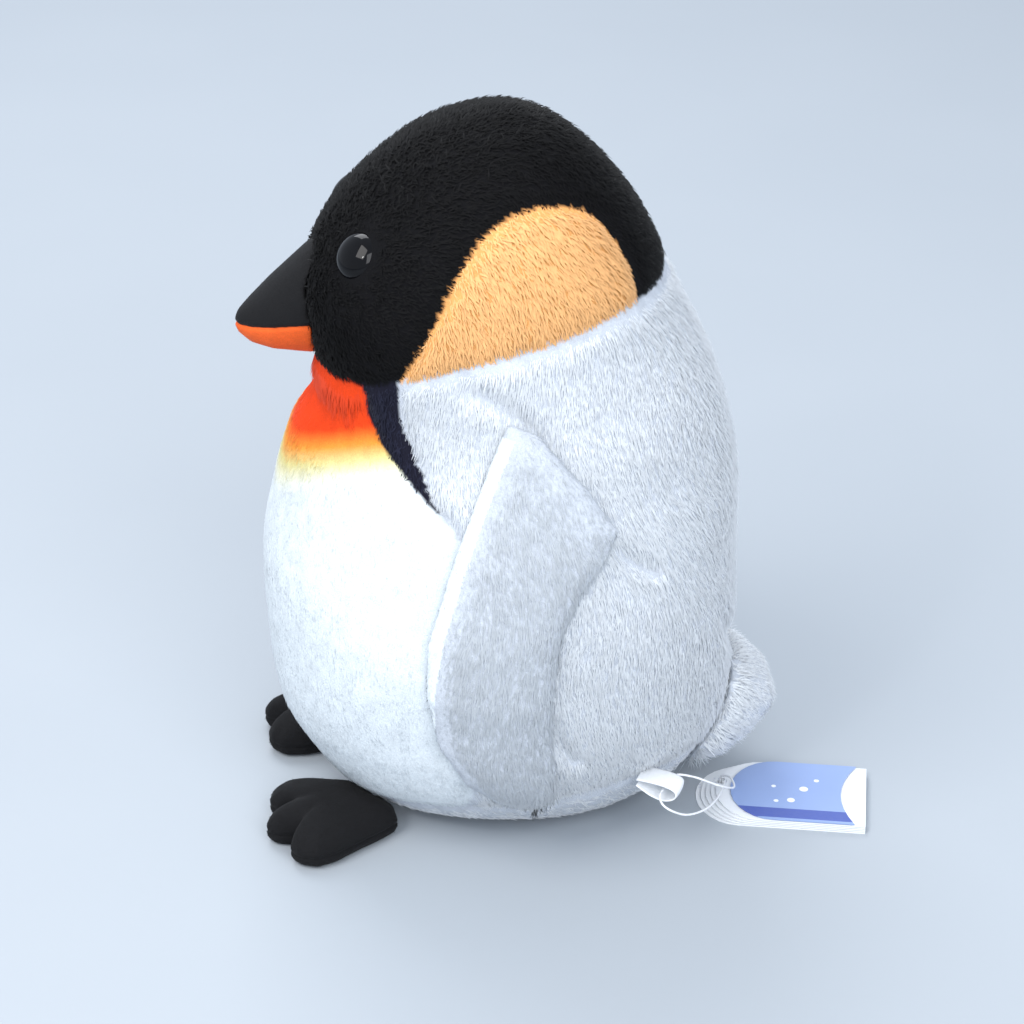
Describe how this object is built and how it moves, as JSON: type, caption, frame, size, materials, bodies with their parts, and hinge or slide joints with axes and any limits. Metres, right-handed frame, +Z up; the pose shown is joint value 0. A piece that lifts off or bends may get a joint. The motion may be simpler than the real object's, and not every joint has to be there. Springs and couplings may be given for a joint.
{
  "type": "plush penguin",
  "caption": "Sitting plush penguin with stuffed body, hinged flippers, feet and tail, domed eyes, a folded care label and a booklet hang tag on a string.",
  "frame": {"origin": "middle of the flat resting patch under the body, on the surface it sits on", "axes": "+Z up through the head, -Y the way the beak points, +X the penguin's left"},
  "size_m": [0.174, 0.2321, 0.266],
  "materials": {
    "black_plush": "short dense pile",
    "apricot_plush": "long soft pile",
    "navy_plush": "short dense pile",
    "white_plush": "smooth pile, orange and yellow at the throat",
    "grey_plush": "long soft pile lying downwards",
    "orange_fabric": "short nap",
    "black_fabric": "short nap",
    "wadding": "polyester fibre",
    "bag_cloth": "plain woven cotton",
    "black_plastic": "polished",
    "washer_plastic": "moulded",
    "satin_ribbon": "satin weave",
    "white_card": "coated card",
    "blue_card": "coated card",
    "white_cord": "thin shiny cord"
  },
  "bodies": {
    "torso": {"hood_left": "black_plush", "hood_right": "black_plush", "cheek_left": "apricot_plush", "cheek_right": "apricot_plush", "side_band_left": "navy_plush", "side_band_right": "navy_plush", "back_panel_left": "grey_plush", "back_panel_right": "grey_plush", "front_panel": "white_plush", "base_panel": "grey_plush", "body_stuffing": "wadding", "pellet_bag": "bag_cloth", "eye_left": "black_plastic", "eye_right": "black_plastic", "eye_washer_left": "washer_plastic", "eye_washer_right": "washer_plastic", "beak_upper": "black_fabric", "beak_lower": "orange_fabric", "beak_stuffing": "wadding"},
    "flipper_left": {"flipper_left_lining": "white_plush", "flipper_left_wadding": "wadding", "flipper_left_plush": "grey_plush"},
    "flipper_right": {"flipper_right_lining": "white_plush", "flipper_right_wadding": "wadding", "flipper_right_plush": "grey_plush"},
    "foot_left": {"foot_left_upper": "black_fabric", "foot_left_sole": "black_fabric", "foot_left_stuffing": "wadding"},
    "foot_right": {"foot_right_upper": "black_fabric", "foot_right_sole": "black_fabric", "foot_right_stuffing": "wadding"},
    "tail": {"tail_upper": "grey_plush", "tail_lower": "grey_plush", "tail_stuffing": "wadding"},
    "care_label": {"care_label": "satin_ribbon"},
    "hang_tag": {"tag_back_card": "white_card", "tag_leaf_1": "white_card", "tag_leaf_2": "white_card", "tag_leaf_3": "white_card", "tag_leaf_4": "white_card", "tag_string": "white_cord"},
    "tag_cover": {"tag_cover": "blue_card"}
  },
  "joints": [
    {"name": "flipper_left_flap", "type": "hinge", "parent": "torso", "child": "flipper_left", "pos_m": [0.07376, 0.01948, 0.1621], "axis": [-0.0783, -0.6457, 0.7596], "range_deg": [0, 80]},
    {"name": "flipper_right_flap", "type": "hinge", "parent": "torso", "child": "flipper_right", "pos_m": [-0.07376, 0.01948, 0.1621], "axis": [-0.0783, 0.6457, -0.7596], "range_deg": [0, 80]},
    {"name": "foot_left_lift", "type": "hinge", "parent": "torso", "child": "foot_left", "pos_m": [0.032, -0.05487, 0.0153], "axis": [-0.9744, -0.225, 0], "range_deg": [0, 20]},
    {"name": "foot_right_lift", "type": "hinge", "parent": "torso", "child": "foot_right", "pos_m": [-0.032, -0.05487, 0.0153], "axis": [-0.9744, 0.225, 0], "range_deg": [0, 20]},
    {"name": "tail_lift", "type": "hinge", "parent": "torso", "child": "tail", "pos_m": [0, 0.087, 0.057], "axis": [1, 0, 0], "range_deg": [0, 20]},
    {"name": "label_lift", "type": "hinge", "parent": "torso", "child": "care_label", "pos_m": [0.05783, 0.047, 0.032], "axis": [0.9063, -0.4226, 0], "range_deg": [0, 12]},
    {"name": "tag_swing", "type": "hinge", "parent": "care_label", "child": "hang_tag", "pos_m": [0.0616, 0.0552, 0.029], "axis": [0.9063, -0.4226, 0], "range_deg": [0, 50]},
    {"name": "tag_open", "type": "hinge", "parent": "hang_tag", "child": "tag_cover", "pos_m": [0.03612, 0.13547, 0.0035], "axis": [-0.9781, 0.2079, 0], "range_deg": [0, 150]}
  ]
}
